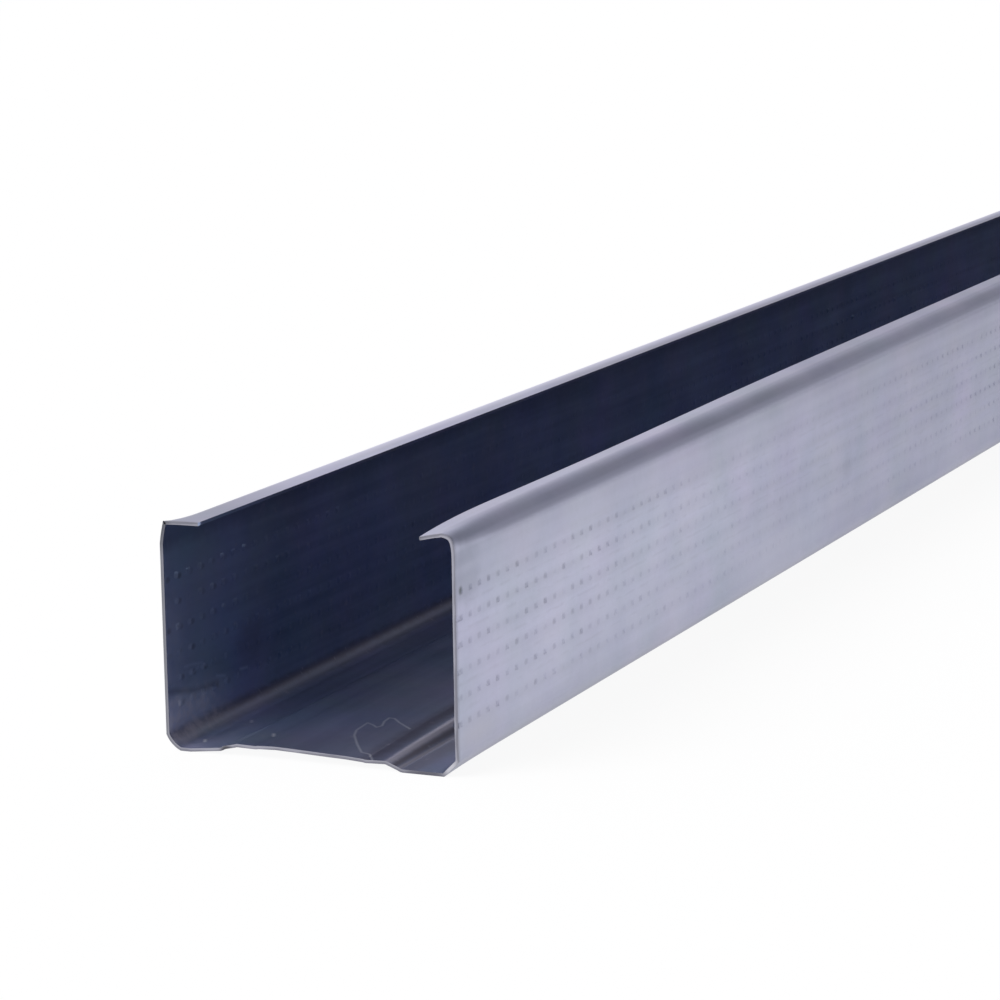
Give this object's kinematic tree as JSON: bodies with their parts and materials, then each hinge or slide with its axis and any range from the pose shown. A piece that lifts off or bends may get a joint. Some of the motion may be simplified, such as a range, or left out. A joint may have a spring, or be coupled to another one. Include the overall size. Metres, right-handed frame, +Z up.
{
  "type": "drywall stud",
  "caption": "Roll-formed galvanised steel C-section stud: stepped web, two knurled flanges and inturned lips. Upright framing member that boards are screwed to.",
  "frame": {"origin": "mid-length of the stud, midway between the outer faces of the two flanges, on the plane that the web's two feet rest on", "axes": "+Y along the length, +X towards the wide flange, +Z up from the web to the open side between the lips"},
  "size_m": [0.048, 2.4, 0.036],
  "materials": {
    "galvanised_steel": "bare galvanised sheet, satin, with faint roll lines and knurled flanges"
  },
  "bodies": {
    "root": {"stud": "galvanised_steel"}
  },
  "joints": []
}
